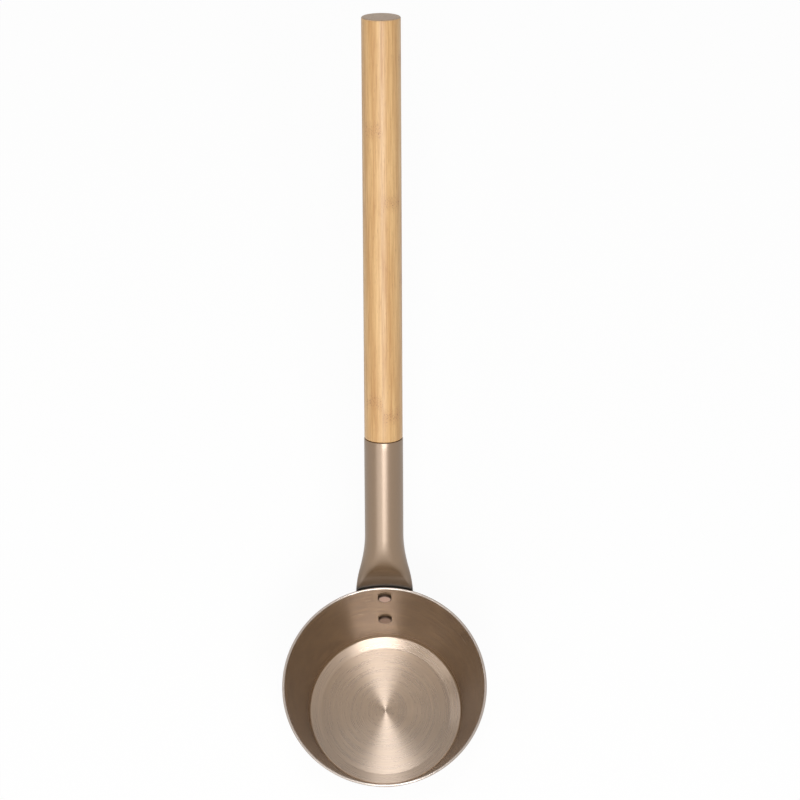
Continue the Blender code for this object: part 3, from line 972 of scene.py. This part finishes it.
def with_nodes(tree, colour, place, own, column, layer, along):
    """A warm band with dark flecks, at other heights in each strip."""
    first = spread(tree, column, -1.0, 0.0, *FIRST_NODE)
    gap = spread(tree, column, -1.0, 0.0, *NODE_GAP)
    shift = maths(tree, "MULTIPLY", maths(tree, "ADD", layer, 2.0), LAYER_SHIFT)
    sway = graded(tree, stretched(tree, place, *SWAY, own), -SWAY_SIZE, SWAY_SIZE)
    height = maths(tree, "SUBTRACT", along, first)
    height = maths(tree, "ADD", height, maths(tree, "ADD", shift, sway))
    turns = maths(tree, "DIVIDE", height, gap)
    off = maths(tree, "MULTIPLY", maths(tree, "PINGPONG", turns, 0.5), gap)
    near = spread(tree, off, NODE_CORE, NODE_REACH, 1.0, 0.0)
    flecks = stretched(tree, place, *FLECKS, own)
    fleck = spread(tree, flecks, *FLECK_CONTRAST, 0.0, FLECK_SHARE)
    colour = mixed(tree, maths(tree, "MULTIPLY", near, NODE_SHARE), colour, BAMBOO_NODE)
    return mixed(tree, maths(tree, "MULTIPLY", fleck, near), colour, BAMBOO_PORE)


print("nodes are", [round(1000 * gap) for gap in NODE_GAP], "mm apart")

# %% The sawn end
DOTS = (0.00042, 1.0, 2.0, 0.6)
DOT_CONTRAST = (0.42, 0.62)
END_START, END_FULL = BAR_LENGTH + FIT_GAP - 0.0005, BAR_LENGTH + FIT_GAP - 0.0003
END_DARK = rgb(0.42, 0.27, 0.155)
END_LIGHT = rgb(0.68, 0.47, 0.30)


def with_sawn_end(tree, colour, place, along):
    """The sawn end shows the fibres from their tips."""
    dots = stretched(tree, place, *DOTS)
    tips = mixed(tree, spread(tree, dots, *DOT_CONTRAST, 0.0, 1.0), END_DARK, END_LIGHT)
    return mixed(tree, spread(tree, along, END_START, END_FULL, 0.0, 1.0), colour, tips)


print("the sawn end is", round(1000 * END_FULL), "mm up the bar")

# %% The finished bamboo
SEAM_HALF_WIDTH = 0.00009
GLUE_SHARE = 0.35
STRIP_SEED = 3.0
STRIP_OFFSET = 7.3
BAMBOO_ROUGHNESS = (0.46, 0.36)
BAMBOO_BUMP = 0.35
BAMBOO_DEPTH = 0.00004


def bamboo():
    material, tree, shader = new_material("laminated_bamboo")
    place = along_bar(tree)
    side, depth, along = step(tree, "ShaderNodeSeparateXYZ", place).node.outputs
    column, layer, seam = strip_numbers(tree, side, depth)
    number = step(tree, "ShaderNodeCombineXYZ", column, layer, STRIP_SEED)
    luck = step(tree, "ShaderNodeTexWhiteNoise", number, noise_dimensions="3D")
    own = vector_maths(tree, "SCALE", number, STRIP_OFFSET)

    fibres = stretched(tree, place, *FIBRES, own)
    pore = short_pores(tree, place, own)
    colour = fibre_colour(tree, fibres, place, own, luck)
    colour = mixed(tree, pore, colour, BAMBOO_PORE)
    colour = with_nodes(tree, colour, place, own, column, layer, along)
    # The glue line is a thin dark seam.
    glue = spread(tree, seam, 0.0, SEAM_HALF_WIDTH, GLUE_SHARE, 0.0)
    colour = mixed(tree, glue, colour, BAMBOO_PORE)

    plug(tree, shader, "Base Color", with_sawn_end(tree, colour, place, along))
    plug(tree, shader, "Roughness", graded(tree, fibres, *BAMBOO_ROUGHNESS))
    relief = maths(tree, "SUBTRACT", fibres, pore)
    plug(tree, shader, "Normal", bumped(tree, relief, BAMBOO_BUMP, BAMBOO_DEPTH))
    return material


bamboo_finish = bamboo()
print("bamboo:", len(bamboo_finish.node_tree.nodes), "nodes")

# %% [markdown]
# ## The bamboo bar
# The bar is a plain round rod with softly rounded ends. Its lower end steps down to a tenon
# that goes into the tube. It is turned on its own axis first, and its mesh is then moved to
# the tube's mouth, so that the object itself stays at the origin.

# %% Turn the bar and set it in the tube
bar_top = FIT_GAP + BAR_LENGTH
bar_corners = [
    (0.0, bar_top, 0.0),
    (BAR_RADIUS, bar_top, BAR_EDGE),
    (BAR_RADIUS, FIT_GAP, BAR_EDGE),
    (TENON_RADIUS, FIT_GAP, 0.0),
    (TENON_RADIUS, TENON_CHAMFER - TENON_LENGTH, 0.0),
    (TENON_RADIUS - TENON_CHAMFER, -TENON_LENGTH, 0.0),
    (0.0, -TENON_LENGTH, 0.0),
]
bar_mesh = turned("bar", bar_corners, bamboo_finish, segments=128, corner_steps=8,
                  row_length=0.004)
bar_mesh.transform(mouth_frame)
bar = add_piece("bamboo_bar", bar_mesh)
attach(bar, "root")
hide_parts("handle_grip")

# %% [markdown]
# ## The screw
# A small slotted screw goes through the underside of the tube into the tenon. It is turned on
# the same lathe. The driver's slot is cut with a thin block and a Boolean.

# %% The screw
STEEL_DARK = rgb(0.40, 0.39, 0.37)
STEEL_LIGHT = rgb(0.56, 0.55, 0.53)
STEEL_ROUGHNESS = 0.32
screw_metal = plain_metal("screw_steel", STEEL_DARK, STEEL_LIGHT, STEEL_ROUGHNESS)


def screw_frame():
    """On the tube's axis at the middle of the tenon: local Z out of the underside."""
    point, slope = spine(TUBE_LENGTH - TENON_LENGTH / 2)
    return frame_along(point, (sin(slope), -cos(slope)))


def screw_mesh():
    seat = TUBE_RADIUS + FIT_GAP
    top = seat + SCREW_HEAD_HEIGHT
    tip = seat - SCREW_LENGTH
    corners = [(0.0, top, 0.0), (SCREW_HEAD_RADIUS, top, SCREW_HEAD_HEIGHT / 2),
               (SCREW_HEAD_RADIUS, seat, 0.0), (SCREW_SHANK_RADIUS, seat, 0.0),
               (SCREW_SHANK_RADIUS, tip + SCREW_POINT, 0.0), (0.0, tip, 0.0)]
    solid = turned("screw", corners, screw_metal, segments=48, corner_steps=8, row_length=0.001)
    whole_screw = add_piece("screw_whole", solid)
    shape = bmesh.new()
    size = Matrix.Diagonal((3 * SCREW_HEAD_RADIUS, SCREW_SLOT_WIDTH, 2 * SCREW_SLOT_DEPTH, 1.0))
    bmesh.ops.create_cube(shape, size=1.0, matrix=Matrix.Translation((0.0, 0.0, top)) @ size)
    block_mesh = bpy.data.meshes.new("block")
    shape.to_mesh(block_mesh)
    shape.free()
    block = add_piece("slot_block", block_mesh)
    cut = whole_screw.modifiers.new("slot", "BOOLEAN")
    cut.operation = "DIFFERENCE"
    cut.solver = "EXACT"
    cut.object = block
    shown = whole_screw.evaluated_get(bpy.context.evaluated_depsgraph_get())
    mesh = bpy.data.meshes.new_from_object(shown)
    for helper in (whole_screw, block):
        bpy.data.objects.remove(helper)
    mesh.shade_smooth()
    mesh.set_sharp_from_angle(angle=SHARP_ANGLE)
    mesh.transform(screw_frame())
    return mesh


screw = add_piece("slotted_screw", screw_mesh())
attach(screw, "root")
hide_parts("retaining_screw")
print("screw:", len(screw.data.polygons), "faces")

# %% [markdown]
# ## Floor and background
# The ladle stands on a plain pale floor. The camera and mirror-like surfaces see the floor
# and the sky almost as pure white, through the Light Path node, while other light sees an
# ordinary pale floor. Some of the ordinary floor stays in the mix, and carries the shadow.

# %% Floor
FLOOR_COLOUR = rgb(0.90, 0.90, 0.89)
FLOOR_ROUGHNESS = 0.9
FLOOR_HALF = 4.0
SEEN_WHITE = 0.94


def seen_directly(tree):
    """1 for camera, mirror and glass rays, 0 for diffuse light."""
    path = tree.nodes.new("ShaderNodeLightPath")
    seen = maths(tree, "MAXIMUM", path.outputs["Is Camera Ray"], path.outputs["Is Glossy Ray"])
    return maths(tree, "MAXIMUM", seen, path.outputs["Is Transmission Ray"])


def floor_finish():
    material, tree, shader = new_material("pale_floor")
    plug(tree, shader, "Base Color", FLOOR_COLOUR)
    plug(tree, shader, "Roughness", FLOOR_ROUGHNESS)
    white = step(tree, "ShaderNodeEmission", rgb(1.0, 1.0, 1.0), 1.0)
    share = maths(tree, "MULTIPLY", seen_directly(tree), SEEN_WHITE)
    both = step(tree, "ShaderNodeMixShader", share, shader.outputs[0], white)
    tree.links.new(both, tree.nodes["Material Output"].inputs["Surface"])
    return material


floor_mesh = bpy.data.meshes.new("floor")
floor_mesh.from_pydata([(-FLOOR_HALF, -FLOOR_HALF, 0.0), (FLOOR_HALF, -FLOOR_HALF, 0.0),
                        (FLOOR_HALF, FLOOR_HALF, 0.0), (-FLOOR_HALF, FLOOR_HALF, 0.0)],
                       [], [(0, 1, 2, 3)])
floor_mesh.materials.append(floor_finish())
floor = add_piece("floor", floor_mesh)
print("floor:", 2 * FLOOR_HALF, "m square")

# %% [markdown]
# ## Light
# Seven soft lamps light the ladle. One overhead draws the two wedges on the bowl's floor, and
# one in front on the right widens them and brightens the wall behind the rivets. A narrow one
# in front on the left draws the long bright line down the tube, and a weaker one fills the
# left. The last three are for the floor's raised edge: one behind reaches the front of it, and
# two at the left, one further back and one higher, draw the pale crescent on its right side.
# The sky is even and soft for diffuse light.

# %% Sky and lamps
SKY_SOFT = 0.14
SKY_SEEN = 1.0
LIT_POINT = Vector((0.0, 0.06, 0.07))
LAMP_DISTANCE = 1.8
# Name, azimuth and elevation in degrees, width and height in metres, and radiance.
LAMPS = [
    ("overhead", 12.0, 86.0, 0.36, 0.25, 24.5),
    ("front_right", 8.5, 50.0, 0.84, 0.44, 16.5),
    ("front_left", -3.5, 35.0, 0.40, 0.57, 2.7),
    ("left_fill", -33.0, 34.0, 1.00, 0.75, 2.1),
    ("behind", 182.0, 50.0, 0.36, 0.35, 5.0),
    ("back_left", -110.0, 52.0, 0.45, 0.30, 2.6),
    ("high_left", -70.0, 65.0, 0.45, 0.25, 3.6),
]


def sky():
    world = bpy.data.worlds.new("studio")
    bpy.context.scene.world = world
    world.use_nodes = True
    tree = world.node_tree
    background = tree.nodes["Background"]
    strength = spread(tree, seen_directly(tree), 0.0, 1.0, SKY_SOFT, SKY_SEEN)
    tree.links.new(strength, background.inputs["Strength"])
    background.inputs["Color"].default_value = rgb(1.0, 1.0, 1.0)


def lamp(name, azimuth, elevation, width, height, radiance):
    """An area lamp that looks at the ladle. Azimuth 0 is in front, positive to the right."""
    light = bpy.data.lights.new(name, "AREA")
    light.shape = "RECTANGLE"
    light.size = width
    light.size_y = height
    light.energy = radiance * pi * width * height
    thing = bpy.data.objects.new(name, light)
    a, e = radians(azimuth), radians(elevation)
    back = Vector((sin(a) * cos(e), -cos(a) * cos(e), sin(e)))
    thing.location = LIT_POINT + LAMP_DISTANCE * back
    thing.rotation_mode = "QUATERNION"
    thing.rotation_quaternion = (-back).to_track_quat("-Z", "Y")
    bpy.context.scene.collection.objects.link(thing)


sky()
for settings in LAMPS:
    lamp(*settings)
print(len(LAMPS), "lamps, each", LAMP_DISTANCE, "m away")

# %% [markdown]
# ## Camera
# The photograph looks down steeply from in front. The lens and the pose were found from the
# rim's ellipse, the handle's end and the joint between wood and metal.

# %% Camera
# Angles in radians, distances in metres, lens and sensor in millimetres.
CAMERA_AZIMUTH = 0.0154
CAMERA_ELEVATION = 1.24
CAMERA_ROLL = -0.0176
CAMERA_DISTANCE = 1.93359
CAMERA_SIDE = 0.0090982
CAMERA_UP = 0.1674087
LENS = 148.5
SENSOR_WIDTH = 36.0


def camera():
    data = bpy.data.cameras.new("camera")
    data.lens = LENS
    data.sensor_width = SENSOR_WIDTH
    thing = bpy.data.objects.new("camera", data)
    a, e, roll = CAMERA_AZIMUTH, CAMERA_ELEVATION, CAMERA_ROLL
    back = Vector((sin(a) * cos(e), -cos(a) * cos(e), sin(e)))
    level = Vector((cos(a), sin(a), 0.0))
    upright = back.cross(level)
    right = cos(roll) * level + sin(roll) * upright
    up = cos(roll) * upright - sin(roll) * level
    origin = Vector((0.0, 0.0, BOWL_HEIGHT))
    place = origin + right * CAMERA_SIDE + up * CAMERA_UP + back * CAMERA_DISTANCE
    turn = Matrix((right, up, back)).transposed().to_4x4()
    thing.matrix_world = Matrix.Translation(place) @ turn
    bpy.context.scene.collection.objects.link(thing)
    bpy.context.scene.camera = thing
    return thing


bpy.context.scene.view_settings.view_transform = "Standard"
print("camera at", [round(v, 3) for v in camera().matrix_world.translation])
